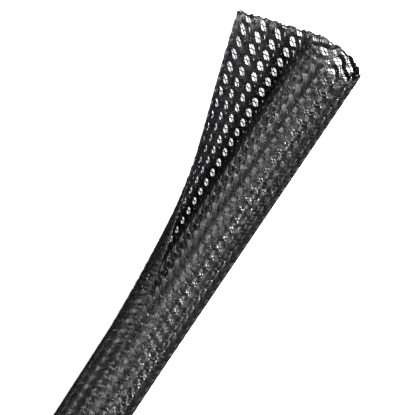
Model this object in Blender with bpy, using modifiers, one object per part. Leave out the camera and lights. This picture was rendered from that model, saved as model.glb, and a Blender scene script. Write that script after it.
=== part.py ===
"""Split braided cable sleeve, half-inch size, one foot long.

One braided sheet, heat-set so that it rolls up on itself. It lies along X with
its cut mouth at +X. The sheet starts at its inner edge on the +Y side, goes over
the top, down the -Y side and under the bottom, and its outer flap laps over the
inner edge on the +Y side. Towards the mouth the roll is sprung open and the flap
lies out on the floor. The wall stands for the envelope of the open braid, with a plain
grid of openings for the braid's windows behind the mouth, where they show best.

Metres, +Z up. The floor is z = 0 and the middle of the box is the origin.
"""
import math

import bmesh
import bpy
from mathutils import Vector

# Driving sizes.
LENGTH = 0.305
BORE = 0.0127
WALL = 0.0008
LAP_GAP = 0.0003

# Width of the sheet from its inner edge round to the line where the sleeve meets the floor.
TUBE_ARC = 0.0382
# Width of the flap past that line. The cut braid fans out, so it is wider at the mouth.
FLAP_CLOSED = 0.0160
FLAP_AT_MOUTH = 0.0213
# The stretch behind the mouth over which the lap springs open.
OPEN_LENGTH = 0.086
# How much of its set curl the tube keeps at the mouth.
CURL_AT_MOUTH = 0.92
# The mouth isn't cut square: the cut slants out towards the flap's edge, and beside the
# inner edge a tongue stands out, which runs back to the cut line over its blend.
CUT_SLANT = 0.0016
TONGUE_LENGTH = 0.0030
TONGUE_WIDTH = 0.0050
TONGUE_BLEND = 0.0060

# Width of the flat that the wall stands on.
FOOT_WIDTH = 0.0012

# Mesh divisions across the tube and across the flap.
TUBE_DIVISIONS = 32
FLAP_DIVISIONS = 14

# The windows' openings: rows of them along the sleeve, from the first one's distance from
# the mouth, and columns across it. An opening is one division wide.
WINDOW_ROWS = 24
WINDOW_PITCH = 0.00283
WINDOW_LENGTH = 0.0019
FIRST_WINDOW = 0.0020
WINDOW_COLUMNS = 12
DIVISIONS_PER_WINDOW = 4
FIRST_WINDOW_DIVISION = 1

# Mesh divisions of the rest of the opened stretch, behind the windows.
REST_DIVISIONS = 4

INNER_RADIUS = (BORE + WALL) / 2
GROWTH_PER_RADIAN = (WALL + LAP_GAP) / (2 * math.pi)


def remove_all_objects():
    for obj in list(bpy.data.objects):
        bpy.data.objects.remove(obj, do_unlink=True)


def set_turn(s):
    """Angle that the rolled sheet has turned through at a distance s from its inner edge."""
    return (math.sqrt(INNER_RADIUS ** 2 + 2 * GROWTH_PER_RADIAN * s) - INNER_RADIUS) / GROWTH_PER_RADIAN


def openness(distance_from_mouth):
    """1 at the mouth, falling to 0 where the lap is fully closed."""
    return max(0.0, 1.0 - distance_from_mouth / OPEN_LENGTH)


def section_points(opened):
    """Mid-wall points of one cross-section as (y, z), from the inner edge to the flap's edge.

    The tangent angle is integrated both ways from the foot, with the set curl slackened a
    little in the tube and let go in the flap. The tube's -Y side is then put at y = 0, so
    that it stays straight while the sleeve widens.
    """
    flap = FLAP_CLOSED + (FLAP_AT_MOUTH - FLAP_CLOSED) * opened
    tube_curl = 1.0 - (1.0 - CURL_AT_MOUTH) * opened
    flap_curl = 1.0 - opened

    def walk(curl, reach, divisions, direction):
        points = []
        y = direction * FOOT_WIDTH / 2
        z = WALL / 2
        step = (reach - FOOT_WIDTH / 2) / divisions
        for index in range(divisions):
            middle = TUBE_ARC + direction * (FOOT_WIDTH / 2 + (index + 0.5) * step)
            angle = curl * (set_turn(middle) - set_turn(TUBE_ARC))
            y += direction * step * math.cos(angle)
            z += direction * step * math.sin(angle)
            points.append((y, z))
        return points

    tube = walk(tube_curl, TUBE_ARC, TUBE_DIVISIONS, -1)
    outer = walk(flap_curl, flap, FLAP_DIVISIONS, 1)
    foot_pair = [(-FOOT_WIDTH / 2, WALL / 2), (FOOT_WIDTH / 2, WALL / 2)]
    points = tube[::-1] + foot_pair + outer
    back = min(y for y, z in points)
    return [(y - back, z) for y, z in points]


def cut_offset(across, distance_from_mouth):
    """How far the uneven cut moves a point at a distance across the sheet along the sleeve."""
    past_tongue = min(1.0, max(0.0, (across - TONGUE_WIDTH) / TONGUE_BLEND))
    tongue = TONGUE_LENGTH * 0.5 * (1.0 + math.cos(math.pi * past_tongue))
    slant = CUT_SLANT * across / (TUBE_ARC + FLAP_AT_MOUTH)
    return (tongue + slant) * openness(distance_from_mouth)


def stations():
    """Distances from the mouth of the cross-sections: both ends of each window, then the rest."""
    rows = [0.0]
    for index in range(WINDOW_ROWS):
        start = FIRST_WINDOW + index * WINDOW_PITCH
        rows += [start, start + WINDOW_LENGTH]
    last = rows[-1]
    rest = OPEN_LENGTH - last
    rows += [last + rest * (index + 1) / REST_DIVISIONS for index in range(REST_DIVISIONS)]
    return rows + [LENGTH]


def is_window(row, column):
    """Whether the grid's face between a row and column and the next ones is an opening."""
    in_row = row % 2 == 1 and row < 2 * WINDOW_ROWS
    place = column - FIRST_WINDOW_DIVISION
    in_column = place % DIVISIONS_PER_WINDOW == 0 and 0 <= place < WINDOW_COLUMNS * DIVISIONS_PER_WINDOW
    return in_row and in_column


def build_sheet(name):
    """The rolled sheet as a grid, each of its rows laid on one cross-section."""
    rows = stations()
    columns = TUBE_DIVISIONS + FLAP_DIVISIONS + 2
    column_width = (TUBE_ARC + FLAP_AT_MOUTH) / (columns - 1)
    bm = bmesh.new()
    bmesh.ops.create_grid(bm, x_segments=len(rows) - 1, y_segments=columns - 1, size=0.5)
    bm.verts.ensure_lookup_table()
    windows = []
    for face in bm.faces:
        middle = face.calc_center_median()
        row = math.floor((middle.x + 0.5) * (len(rows) - 1))
        column = math.floor((middle.y + 0.5) * (columns - 1))
        if is_window(row, column):
            windows.append(face)
    bmesh.ops.delete(bm, geom=windows, context="FACES")
    sections = [section_points(openness(distance)) for distance in rows]
    for vert in bm.verts:
        row = round((vert.co.x + 0.5) * (len(rows) - 1))
        column = round((vert.co.y + 0.5) * (columns - 1))
        y, z = sections[row][column]
        distance = rows[row]
        x = LENGTH / 2 - distance + cut_offset(column * column_width, distance)
        vert.co = Vector((x, y, z))
    bmesh.ops.recalc_face_normals(bm, faces=bm.faces)
    mesh = bpy.data.meshes.new(name)
    bm.to_mesh(mesh)
    bm.free()
    mesh.shade_smooth()
    return bpy.data.objects.new(name, mesh)


def braid_material():
    """Black polyester monofilament."""
    material = bpy.data.materials.new("black_polyester_braid")
    material.use_nodes = True
    shader = material.node_tree.nodes["Principled BSDF"]
    shader.inputs["Base Color"].default_value = (0.016, 0.016, 0.017, 1.0)
    shader.inputs["Roughness"].default_value = 0.38
    shader.inputs["Metallic"].default_value = 0.0
    return material


def centre_on_box(obj):
    """Move the object so that its box stands on the floor with its middle over the origin."""
    bpy.context.view_layer.update()
    evaluated = obj.evaluated_get(bpy.context.evaluated_depsgraph_get())
    corners = [Vector(corner) for corner in evaluated.bound_box]
    low = Vector(min(corner[axis] for corner in corners) for axis in range(3))
    high = Vector(max(corner[axis] for corner in corners) for axis in range(3))
    obj.location = (-(low.x + high.x) / 2, -(low.y + high.y) / 2, -low.z)


def main():
    remove_all_objects()
    collection = bpy.data.collections.new("Braided cable sleeve")
    bpy.context.scene.collection.children.link(collection)
    sleeve = build_sheet("braided_sleeve")
    sleeve.data.materials.append(braid_material())
    collection.objects.link(sleeve)
    thickness = sleeve.modifiers.new("Wall", "SOLIDIFY")
    thickness.thickness = WALL
    thickness.offset = 0.0
    thickness.use_even_offset = True
    centre_on_box(sleeve)


main()
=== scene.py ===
"""Looks of the split braided cable sleeve.

The rolled sheet of the CAD model is laid here as its real braid: black monofilaments, in
bundles of five and singles by turns. Counted in rows, the s lay runs back from the mouth as
it goes round the sleeve and the z lay runs towards it. They cross two over and two under, so
that ribs and columns of windows run along the sleeve. The strands turn back at both edges of
the sheet, and both ends are cut with heat. Metres, in the frame of the CAD model.
"""

import math

import bpy
import numpy as np
from mathutils import Matrix, Vector


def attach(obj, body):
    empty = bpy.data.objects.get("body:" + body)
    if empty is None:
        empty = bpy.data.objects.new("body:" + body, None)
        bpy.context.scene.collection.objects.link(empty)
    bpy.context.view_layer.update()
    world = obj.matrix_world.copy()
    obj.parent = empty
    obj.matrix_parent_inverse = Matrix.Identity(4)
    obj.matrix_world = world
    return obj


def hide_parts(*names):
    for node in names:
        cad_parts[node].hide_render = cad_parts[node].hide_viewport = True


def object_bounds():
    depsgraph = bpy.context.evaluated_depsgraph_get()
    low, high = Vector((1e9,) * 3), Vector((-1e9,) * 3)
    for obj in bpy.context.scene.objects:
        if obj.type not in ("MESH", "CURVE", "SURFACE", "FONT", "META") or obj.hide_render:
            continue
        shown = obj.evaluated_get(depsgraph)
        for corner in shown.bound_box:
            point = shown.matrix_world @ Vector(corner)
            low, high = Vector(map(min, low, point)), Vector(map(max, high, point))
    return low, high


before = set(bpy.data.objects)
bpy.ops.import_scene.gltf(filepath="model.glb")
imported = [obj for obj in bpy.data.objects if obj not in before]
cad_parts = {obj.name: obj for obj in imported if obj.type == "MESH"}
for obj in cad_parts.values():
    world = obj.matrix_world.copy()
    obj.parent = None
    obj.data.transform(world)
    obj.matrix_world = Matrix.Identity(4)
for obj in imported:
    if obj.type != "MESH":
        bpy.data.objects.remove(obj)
cad_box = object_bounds()

# The rolled sheet, as the CAD model has it.
LENGTH = 0.305
BORE = 0.0127
WALL = 0.0008
LAP_GAP = 0.0003
TUBE_ARC = 0.0382
FLAP_CLOSED = 0.0160
FLAP_AT_MOUTH = 0.0213
OPEN_LENGTH = 0.086
CURL_AT_MOUTH = 0.92
CUT_SLANT = 0.0016
TONGUE_LENGTH = 0.0030
TONGUE_WIDTH = 0.0050
TONGUE_BLEND = 0.0060
FOOT_WIDTH = 0.0012
INNER_RADIUS = (BORE + WALL) / 2
GROWTH_PER_RADIAN = (WALL + LAP_GAP) / (2 * math.pi)
FAR_END = cad_box[0][0]
BACK = cad_box[0][1] + WALL / 2

# The braid's lattice. On it, k counts crossing columns across the sheet, four of them from one
# column of windows to the next, and r counts rows back along it. In metres, s is the distance
# across the sheet from its inner edge and d is the distance back from the mouth.
ROW = 0.001415
CROSSINGS_PER_WINDOW = 4
TURN_PER_COLUMN = 2.0 * math.pi / CROSSINGS_PER_WINDOW
WINDOW_COLUMN = 3.0
RIB_COLUMN = 0.5
FOOT_COLUMN = 39.7
# How much closer than evenly spaced the columns lie at the sheet's inner edge.
CROWDING = 0.077
# Where the strands' courses would meet beyond each edge, how far short of that they begin to
# turn, and the steps of the mesh in half a turn.
INNER_CORNER = -3
OUTER_CORNER = 59
INNER_TURN = 1.0
OUTER_TURN = 3.4
INNER_TURN_STEPS = 2
OUTER_TURN_STEPS = 3
# The columns over which the tube's weave passes into the flap's, and how many of them lie
# before the foot.
FLAP_BLEND = 4.0
FLAP_BLEND_LEAD = 1.0
# The rows are bowed. Row 0 lies this far back at its furthest point, and the rows' slants are
# given at some columns, in metres back from the mouth for one column.
BOW_DEPTH = 0.0080
SLANT_COLUMNS = (-4.0, 9.0, 14.0, 19.0, 26.0, 33.0, 37.0, 42.0, 48.0, 60.0)
SLANTS = (0.00044, 0.00046, 0.00070, 0.00070, 0.00030, 0.0, -0.00055, -0.00085, -0.00095, -0.00095)

# The filaments, and the spacing of a bundle's filaments. Up to the last column of the tube's top
# a bundle is narrow, and past it, under the tube, it has the rib's spacing throughout.
FILAMENT = 0.00025
BUNDLE_COUNT = 5
SPACING_ON_RIB = 0.00029
SPACING_ON_TOP_RIB = 0.00023
SPACING_IN_WINDOW = 0.00024
SPACING_ON_FLAP = 0.00018
TOP_LAST_COLUMN = 17.0
TOP_BLEND = 3.0
# How much a filament strays from its place.
WOBBLE = 0.00002

# The weave: how high the floats stand, how flat their tops are, and over how many columns they
# fade out at the sheet's two edges.
WEAVE_HEIGHT = 0.00024
FLOAT_FLATNESS = 2.2
INNER_FADE = 1.0
OUTER_FADE = 2.0

# How far the strands crowd to the ribs, in columns, so that the windows stand open. At the mouth
# it changes over a length of its own, and the flap has all of it where the lap is this open.
SPREAD_IN_TUBE = 0.08
SPREAD_IN_FLAP = 0.58
SPREAD_AT_MOUTH = 0.32
SPREAD_LENGTH = 0.012
FULL_SPREAD_OPENNESS = 0.5
# The narrow spacing at the mouth fades out at this many times the spread's length.
NARROW_REACH = 1.5

# The lattice's small drift along the sleeve dies out over this many rows at both ends.
EVEN_END_ROWS = 3.0

# The fineness of the filaments' mesh, and how many pieces the bundles of a lay are split into.
SAMPLES_PER_WINDOW = 6
SIDES = 4
BUNDLE_PIECES = 3

# The melted edges: the bead's thickness, its lumps at the ribs and between, and how far it is
# drawn back between the ribs and at random.
BEAD_RADIUS = 0.00016
BEAD_RIB_LUMP = 0.00013
BEAD_BUMP = 0.00005
BEAD_GRAIN = 0.00005
SCALLOP = 0.00030
RAGGEDNESS = 0.00012
BEAD_SAMPLES = 360
BEAD_SIDES = 8
BEAD_SHADE = 0.4

RANDOM_SEED = 11


def set_turn(s):
    """Angle that the rolled sheet has turned through at a distance s from its inner edge."""
    return (np.sqrt(INNER_RADIUS ** 2 + 2 * GROWTH_PER_RADIAN * s) - INNER_RADIUS) / GROWTH_PER_RADIAN


def openness(d):
    """1 at the mouth, falling to 0 where the lap is fully closed."""
    return np.clip(1.0 - d / OPEN_LENGTH, 0.0, 1.0)


def cut_offset(s, opened):
    """How far the uneven cut moves a point of the sheet along the sleeve."""
    past_tongue = np.clip((s - TONGUE_WIDTH) / TONGUE_BLEND, 0.0, 1.0)
    tongue = TONGUE_LENGTH * 0.5 * (1.0 + np.cos(math.pi * past_tongue))
    return (tongue + CUT_SLANT * s / (TUBE_ARC + FLAP_AT_MOUTH)) * opened


class RolledSheet:
    """The sheet's cross-sections, tabulated over the distance across it and the openness."""

    STEP = 0.0001
    LOW = -0.002
    HIGH = TUBE_ARC + FLAP_AT_MOUTH + 0.002
    OPENED_STEPS = 80

    def __init__(self):
        self.s = np.arange(self.LOW, self.HIGH, self.STEP)
        self.opened = np.linspace(0.0, 1.0, self.OPENED_STEPS + 1)
        s, opened = np.meshgrid(self.s, self.opened, indexing="ij")
        curl = np.where(s < TUBE_ARC, 1.0 - (1.0 - CURL_AT_MOUTH) * opened, 1.0 - opened)
        self.angle = curl * (set_turn(s) - set_turn(TUBE_ARC))
        self.angle[np.abs(s - TUBE_ARC) < FOOT_WIDTH / 2] = 0.0
        foot = int(round((TUBE_ARC - self.LOW) / self.STEP))
        self.y = self.walk(np.cos(self.angle), foot)
        self.z = self.walk(np.sin(self.angle), foot) + WALL / 2
        on_sheet = self.s >= 0.0
        self.y -= self.y[on_sheet].min(axis=0)

    def walk(self, slope, foot):
        """Integrate a slope across the sheet, from zero at the foot."""
        middles = (slope[1:] + slope[:-1]) / 2 * self.STEP
        total = np.concatenate([np.zeros((1, slope.shape[1])), np.cumsum(middles, axis=0)])
        return total - total[foot]

    def read(self, s, opened):
        """y, z and the tangent's angle at places on the sheet."""
        a = np.clip((s - self.LOW) / self.STEP, 0, len(self.s) - 1.001)
        b = np.clip(opened * self.OPENED_STEPS, 0, self.OPENED_STEPS - 0.001)
        i = a.astype(int)
        j = b.astype(int)
        fa = a - i
        fb = b - j
        found = []
        for table in (self.y, self.z, self.angle):
            low = table[i, j] * (1 - fa) + table[i + 1, j] * fa
            high = table[i, j + 1] * (1 - fa) + table[i + 1, j + 1] * fa
            found.append(low * (1 - fb) + high * fb)
        return found


SHEET = RolledSheet()
INNER_COLUMN = INNER_CORNER + INNER_TURN / 2
OUTER_COLUMN = OUTER_CORNER - OUTER_TURN / 2


def across(k, opened):
    """Distance across the sheet of a place given in crossing columns."""
    share = (k - INNER_COLUMN) / (FOOT_COLUMN - INNER_COLUMN)
    in_tube = TUBE_ARC * (share - CROWDING * share * (1.0 - share))
    flap_width = FLAP_CLOSED + (FLAP_AT_MOUTH - FLAP_CLOSED) * opened
    on_flap = TUBE_ARC + flap_width * (k - FOOT_COLUMN) / (OUTER_COLUMN - FOOT_COLUMN)
    return np.where(k < FOOT_COLUMN, in_tube, on_flap)


# The bow of row 0: how far back it lies at each column, by adding up the slants.
BOW_SAMPLES = 641
BOW_COLUMNS = np.linspace(SLANT_COLUMNS[0], SLANT_COLUMNS[-1], BOW_SAMPLES)
BOW_STEPS = np.diff(BOW_COLUMNS) * np.interp(BOW_COLUMNS[1:], SLANT_COLUMNS, SLANTS)
BOW = np.concatenate([[0.0], np.cumsum(BOW_STEPS)])
BOW = BOW - BOW.max() + BOW_DEPTH


def distance_back(k, r):
    """Distance back from the mouth. The rows are bowed, with the sheet's middle further back."""
    return ROW * r + np.interp(k, BOW_COLUMNS, BOW)


def flap_share(k):
    """0 in the tube and 1 on the flap, with a blend about the foot."""
    return np.clip((k - FOOT_COLUMN + FLAP_BLEND_LEAD) / FLAP_BLEND, 0.0, 1.0)


def rib_share(k):
    """1 on a rib and 0 midway between two ribs."""
    return 0.5 + 0.5 * np.cos(TURN_PER_COLUMN * (k - RIB_COLUMN))


def unevenness(k, r):
    """Small drift of the lattice, in crossing columns and rows, which all strands share."""
    sideways = 0.05 * np.sin(0.9 * k + 0.37 * r + 0.4) + 0.06 * np.sin(0.23 * k - 0.31 * r + 2.0)
    lengthways = 0.07 * np.sin(0.41 * k + 0.53 * r + 1.1) + 0.08 * np.sin(0.17 * k - 0.19 * r)
    return sideways, lengthways


def place(k, r):
    """Middle point of the sheet and its outward normal at lattice places."""
    d = distance_back(k, r)
    opened = openness(d)
    fanned = np.clip(opened / FULL_SPREAD_OPENNESS, 0.0, 1.0)
    spread = SPREAD_IN_TUBE + (SPREAD_IN_FLAP - SPREAD_IN_TUBE) * flap_share(k) * fanned
    near_mouth = np.clip(1.0 - d / SPREAD_LENGTH, 0.0, 1.0)
    spread = spread + (SPREAD_AT_MOUTH - spread) * near_mouth
    sideways, lengthways = unevenness(k, r)
    off_end = np.clip(np.minimum(d, LENGTH - d) / (EVEN_END_ROWS * ROW), 0.0, 1.0)
    moved = k + spread * np.sin(TURN_PER_COLUMN * (k - WINDOW_COLUMN)) + sideways
    d = d + lengthways * off_end * ROW
    s = across(moved, opened)
    y, z, angle = SHEET.read(s, opened)
    x = FAR_END + LENGTH - d + cut_offset(s, opened)
    points = np.stack([x, BACK + y, z], axis=-1)
    normals = np.stack([np.zeros_like(x), np.sin(angle), -np.cos(angle)], axis=-1)
    return points, normals


def weave_height(k, lay):
    """Height of a strand over the middle of the sheet: over two, then under two, in flat floats."""
    rise = FLOAT_FLATNESS * np.cos(TURN_PER_COLUMN * (k - RIB_COLUMN))
    wave = lay * np.tanh(rise) / math.tanh(FLOAT_FLATNESS)
    inner = np.clip((k - INNER_COLUMN) / INNER_FADE, 0.0, 1.0)
    outer = np.clip((OUTER_COLUMN - k) / OUTER_FADE, 0.0, 1.0)
    return WEAVE_HEIGHT * wave * inner * outer


def half_turn(corner, reach, steps):
    """A strand's half of its turn at an edge, from the straight course to the turn's top."""
    t = np.linspace(0.0, 0.5, steps + 1)[1:]
    k = corner - reach * ((1 - t) ** 2 + t ** 2)
    r = reach / 2 * (t ** 2 - (1 - t) ** 2)
    return k, r


def course(lay):
    """A strand's course from edge to edge, for the strand whose straight part starts at row 0.

    lay is 1 for the s lay, which runs back from the mouth by half a row for each column, and
    -1 for the z lay, which runs towards it.
    """
    step = CROSSINGS_PER_WINDOW / SAMPLES_PER_WINDOW
    first = INNER_CORNER + INNER_TURN
    last = OUTER_CORNER - OUTER_TURN
    count = int(round((last - first) / step))
    k = np.linspace(first, last, count + 1)
    r = lay * k / 2
    out_k, out_r = half_turn(OUTER_CORNER, OUTER_TURN, OUTER_TURN_STEPS)
    in_k, in_r = half_turn(-INNER_CORNER, INNER_TURN, INNER_TURN_STEPS)
    outer_r = lay * (OUTER_CORNER / 2 + out_r)
    inner_r = lay * (INNER_CORNER / 2 - in_r)
    k = np.concatenate([-in_k[::-1], k, out_k])
    r = np.concatenate([inner_r[::-1], r, outer_r])
    return k, r


def stretches(k, r):
    """The stretches of a course between the two cuts, with their ends set exactly on them."""
    d = distance_back(k, r)
    inside = (d > 0.0) & (d < LENGTH)
    breaks = np.flatnonzero(np.diff(inside.astype(int))) + 1
    found = []
    for run in np.split(np.arange(len(k)), breaks):
        if not inside[run[0]] or len(run) < 3:
            continue
        kept_k = k[run]
        kept_r = r[run]
        for last, beyond, place_at in ((run[0], run[0] - 1, 0), (run[-1], run[-1] + 1, -1)):
            if 0 <= beyond < len(k):
                cut = 0.0 if d[beyond] <= 0.0 else LENGTH
                share = (cut - d[last]) / (d[beyond] - d[last])
                kept_k[place_at] = k[last] + share * (k[beyond] - k[last])
                kept_r[place_at] = r[last] + share * (r[beyond] - r[last])
        found.append((kept_k, kept_r))
    return found


def unit(vectors):
    """The vectors at length one."""
    return vectors / np.linalg.norm(vectors, axis=-1, keepdims=True)


def tube(points, normals, radius, sides):
    """Rings of a round tube about a line of points."""
    along = unit(np.gradient(points, axis=0))
    aside = unit(np.cross(normals, along))
    upright = np.cross(along, aside)
    angles = 2.0 * math.pi * (np.arange(sides) + 0.5) / sides
    ring = aside[:, None, :] * np.cos(angles)[None, :, None]
    ring = ring + upright[:, None, :] * np.sin(angles)[None, :, None]
    return points[:, None, :] + ring * np.reshape(radius, (-1, 1, 1))


class MeshMaker:
    """Gathers closed tubes into one mesh, with a value of its own for each tube."""

    def __init__(self, name):
        self.name = name
        self.points = []
        self.quads = []
        self.caps = []
        self.values = []
        self.count = 0

    def add(self, rings, value):
        number, sides, _ = rings.shape
        index = self.count + np.arange(number * sides).reshape(number, sides)
        after = np.roll(index, -1, axis=1)
        quads = np.stack([index[:-1], index[1:], after[1:], after[:-1]], axis=-1)
        self.points.append(rings.reshape(-1, 3))
        self.quads.append(quads.reshape(-1, 4))
        self.caps.append(index[0])
        self.caps.append(index[-1][::-1])
        self.values.append(np.full(number * sides, value))
        self.count += number * sides

    def build(self):
        points = np.concatenate(self.points)
        quads = np.concatenate(self.quads)
        sides = len(self.caps[0])
        caps = np.stack(self.caps)
        corners = np.concatenate([quads.ravel(), caps.ravel()])
        sizes = np.concatenate([np.full(len(quads), 4), np.full(len(caps), sides)])
        starts = np.concatenate([[0], np.cumsum(sizes)[:-1]])
        mesh = bpy.data.meshes.new(self.name)
        mesh.vertices.add(len(points))
        mesh.vertices.foreach_set("co", points.astype(np.float32).ravel())
        mesh.loops.add(len(corners))
        mesh.loops.foreach_set("vertex_index", corners.astype(np.int32))
        mesh.polygons.add(len(sizes))
        mesh.polygons.foreach_set("loop_start", starts.astype(np.int32))
        mesh.polygons.foreach_set("loop_total", sizes.astype(np.int32))
        mesh.update(calc_edges=True)
        mesh.validate()
        mesh.shade_smooth()
        values = mesh.attributes.new("filament", "FLOAT", "POINT")
        values.data.foreach_set("value", np.concatenate(self.values).astype(np.float32))
        piece = bpy.data.objects.new(self.name, mesh)
        bpy.context.scene.collection.objects.link(piece)
        return piece


def strand_numbers(lay, single):
    """Numbers of the bundles or the singles of one lay that touch the sheet.

    In the s lay the odd numbers are singles, and in the z lay the even ones.
    """
    k, r = course(lay)
    d = distance_back(k, r)
    low = int(math.floor(-d.max() / ROW)) - 1
    high = int(math.ceil((LENGTH - d.min()) / ROW)) + 1
    odd_is_single = lay == 1
    return [n for n in range(low, high + 1) if ((n % 2 == 1) == odd_is_single) == single]


def bundle_spacing(k, d):
    """Spacing of a bundle's filaments, which lie wider below the tube and on the flap's ribs."""
    on_top = np.clip((TOP_LAST_COLUMN + TOP_BLEND - k) / TOP_BLEND, 0.0, 1.0)
    on_top = np.maximum(on_top, np.clip(NARROW_REACH - d / SPREAD_LENGTH, 0.0, 1.0))
    in_window = SPACING_ON_RIB + (SPACING_IN_WINDOW - SPACING_ON_RIB) * on_top
    in_window = in_window + (SPACING_ON_FLAP - in_window) * flap_share(k)
    on_rib = SPACING_ON_RIB + (SPACING_ON_TOP_RIB - SPACING_ON_RIB) * on_top
    return in_window + (on_rib - in_window) * rib_share(k)


def braid_piece(name, lay, single, numbers, rng):
    """One mesh of some of the strands of one lay."""
    maker = MeshMaker(name)
    k0, r0 = course(lay)
    count = 1 if single else BUNDLE_COUNT
    courses = [run for number in numbers for run in stretches(k0, r0 + number)]
    for k, r in courses:
        points, normals = place(k, r)
        points = points + normals * weave_height(k, lay)[:, None]
        along = unit(np.gradient(points, axis=0))
        aside = unit(np.cross(normals, along))
        spacing = bundle_spacing(k, distance_back(k, r))
        for index in range(count):
            side = index - (count - 1) / 2
            offset = side * spacing
            wobble = rng.normal(0.0, WOBBLE, len(k))
            line = points + aside * (offset + wobble)[:, None]
            maker.add(tube(line, normals, FILAMENT / 2, SIDES), rng.random())
    return maker.build()


def melted_edge(name, cut, rng):
    """The knotted bead that the hot cut leaves along one end of the sheet."""
    k = np.linspace(INNER_COLUMN, OUTER_COLUMN, BEAD_SAMPLES)
    ribs = rib_share(k)
    inwards = 1.0 if cut == 0.0 else -1.0
    drawn_back = inwards * (SCALLOP * (1.0 - ribs) + RAGGEDNESS * rng.random(len(k)))
    row = (cut + drawn_back - distance_back(k, 0.0)) / ROW
    points, normals = place(k, row)
    bumps = 0.5 + 0.5 * np.sin(2.9 * k + 1.3 * np.sin(0.7 * k))
    radius = BEAD_RADIUS + BEAD_RIB_LUMP * ribs ** 2 + BEAD_BUMP * bumps + BEAD_GRAIN * rng.random(len(k))
    maker = MeshMaker(name)
    maker.add(tube(points, normals, radius, BEAD_SIDES), BEAD_SHADE)
    return maker.build()


# The filaments' colour, from the darkest to the lightest, and their gloss, which scuffs vary.
DARKEST = (0.002, 0.002, 0.0022, 1.0)
LIGHTEST = (0.010, 0.010, 0.0107, 1.0)
REFRACTION = 1.5
SMOOTHEST = 0.22
ROUGHEST = 0.34
SCUFFS_PER_METRE = 900.0


def filament_material():
    """Black polyester monofilament: satin, with a little variation from one to the next."""
    material = bpy.data.materials.new("black_polyester_filament")
    material.use_nodes = True
    nodes = material.node_tree.nodes
    links = material.node_tree.links
    shader = nodes["Principled BSDF"]
    shader.inputs["IOR"].default_value = REFRACTION
    value = nodes.new("ShaderNodeAttribute")
    value.attribute_name = "filament"
    colour = nodes.new("ShaderNodeValToRGB")
    colour.color_ramp.elements[0].color = DARKEST
    colour.color_ramp.elements[1].color = LIGHTEST
    links.new(value.outputs["Fac"], colour.inputs["Fac"])
    links.new(colour.outputs["Color"], shader.inputs["Base Color"])
    coordinates = nodes.new("ShaderNodeTexCoord")
    scuff = nodes.new("ShaderNodeTexNoise")
    scuff.inputs["Scale"].default_value = SCUFFS_PER_METRE
    scuff.inputs["Detail"].default_value = 3.0
    links.new(coordinates.outputs["Object"], scuff.inputs["Vector"])
    roughness = nodes.new("ShaderNodeMapRange")
    roughness.inputs["From Min"].default_value = 0.3
    roughness.inputs["From Max"].default_value = 0.7
    roughness.inputs["To Min"].default_value = SMOOTHEST
    roughness.inputs["To Max"].default_value = ROUGHEST
    links.new(scuff.outputs["Fac"], roughness.inputs["Value"])
    links.new(roughness.outputs["Result"], shader.inputs["Roughness"])
    return material


FLOOR_SIZE = 8.0
FLOOR_GLOW = 0.9


def white_floor():
    """A wide white floor that glows by itself, so that nearly no shadow shows.

    The gloss of the filaments doesn't mirror it, so that the braid stays dark.
    """
    bpy.ops.mesh.primitive_plane_add(size=FLOOR_SIZE)
    floor = bpy.context.object
    floor.name = "floor"
    material = bpy.data.materials.new("white_table")
    material.use_nodes = True
    shader = material.node_tree.nodes["Principled BSDF"]
    shader.inputs["Base Color"].default_value = (0.8, 0.8, 0.8, 1.0)
    shader.inputs["Roughness"].default_value = 0.9
    shader.inputs["Emission Color"].default_value = (1.0, 1.0, 1.0, 1.0)
    shader.inputs["Emission Strength"].default_value = FLOOR_GLOW
    floor.data.materials.append(material)
    floor.visible_glossy = False


# The camera, aimed at a point inside the sleeve near its mouth.
CAMERA_TARGET = Vector((0.10649, -0.00150, 0.008))
CAMERA_DISTANCE = 0.5743
CAMERA_TOWARDS_MOUTH = math.radians(26.56)
CAMERA_FROM_TOP = math.radians(40.89)
CAMERA_ROLL = math.radians(56.935)
CAMERA_LENS = 222.57


def add_camera():
    """The camera at the photograph's angle: towards the mouth's side, over the flap, and rolled."""
    back = Vector((
        math.sin(CAMERA_TOWARDS_MOUTH),
        math.cos(CAMERA_TOWARDS_MOUTH) * math.sin(CAMERA_FROM_TOP),
        math.cos(CAMERA_TOWARDS_MOUTH) * math.cos(CAMERA_FROM_TOP),
    ))
    sleeve = Vector((1.0, 0.0, 0.0))
    level = (sleeve - back * sleeve.dot(back)).normalized()
    cross = back.cross(level)
    right = level * math.cos(CAMERA_ROLL) - cross * math.sin(CAMERA_ROLL)
    up = level * math.sin(CAMERA_ROLL) + cross * math.cos(CAMERA_ROLL)
    data = bpy.data.cameras.new("camera")
    data.sensor_width = 36.0
    data.lens = CAMERA_LENS
    data.clip_start = 0.01
    data.clip_end = 50.0
    camera = bpy.data.objects.new("camera", data)
    turned = Matrix((right, up, back)).transposed().to_4x4()
    camera.matrix_world = Matrix.Translation(CAMERA_TARGET + back * CAMERA_DISTANCE) @ turned
    bpy.context.scene.collection.objects.link(camera)
    bpy.context.scene.camera = camera


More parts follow.
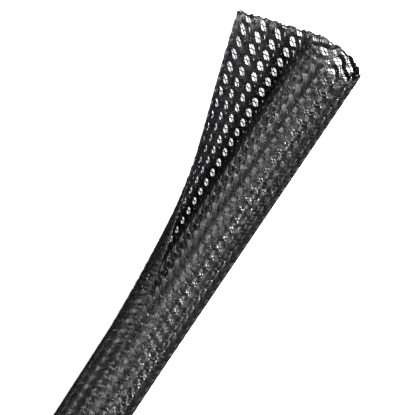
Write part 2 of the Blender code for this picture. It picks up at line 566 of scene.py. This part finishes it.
# The soft boxes: where each stands, the length of its side and its power in watts.
SOFT_BOXES = (
    ("soft_box_low", (0.30, -1.25, 0.40), 0.50, 14.0),
    ("soft_box_mouth", (0.85, 0.35, 0.95), 0.30, 38.0),
    ("soft_box_above", (0.56, 0.00, 1.22), 0.30, 25.0),
    ("soft_box_left", (-0.14, 0.80, 1.06), 0.35, 6.0),
    ("soft_box_end", (-0.96, 0.55, 0.16), 0.30, 10.0),
)
LIGHTS_AIM = (0.08, 0.0, 0.0)
ROOM_GLOW = 0.015


def soft_light(name, place_at, size, power):
    """A square soft box that looks at the sleeve."""
    data = bpy.data.lights.new(name, "AREA")
    data.shape = "SQUARE"
    data.size = size
    data.energy = power
    light = bpy.data.objects.new(name, data)
    direction = Vector(LIGHTS_AIM) - Vector(place_at)
    turned = direction.to_track_quat("-Z", "Y").to_matrix().to_4x4()
    light.matrix_world = Matrix.Translation(Vector(place_at)) @ turned
    bpy.context.scene.collection.objects.link(light)


def add_lights():
    """Soft boxes all round the sleeve, in a dim room."""
    for name, place_at, size, power in SOFT_BOXES:
        soft_light(name, place_at, size, power)
    world = bpy.data.worlds.new("room")
    world.use_nodes = True
    background = world.node_tree.nodes["Background"]
    background.inputs["Color"].default_value = (1.0, 1.0, 1.0, 1.0)
    background.inputs["Strength"].default_value = ROOM_GLOW
    bpy.context.scene.world = world
    bpy.context.scene.view_settings.view_transform = "Standard"


def add_braid():
    """All strands and the two melted edges, in place of the CAD model's plain sheet."""
    rng = np.random.default_rng(RANDOM_SEED)
    material = filament_material()
    pieces = []
    for lay, lay_name in ((1, "s_lay"), (-1, "z_lay")):
        bundles = strand_numbers(lay, False)
        for part, numbers in enumerate(np.array_split(bundles, BUNDLE_PIECES)):
            pieces.append(braid_piece("%s_bundles_%d" % (lay_name, part + 1), lay, False, numbers, rng))
        pieces.append(braid_piece(lay_name + "_singles", lay, True, strand_numbers(lay, True), rng))
    pieces.append(melted_edge("melted_edge_mouth", 0.0, rng))
    pieces.append(melted_edge("melted_edge_far_end", LENGTH, rng))
    for piece in pieces:
        piece.data.materials.append(material)
        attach(piece, "root")
        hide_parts("braided_sleeve")


def main():
    add_camera()
    add_lights()
    white_floor()
    add_braid()
    bpy.context.view_layer.update()


main()
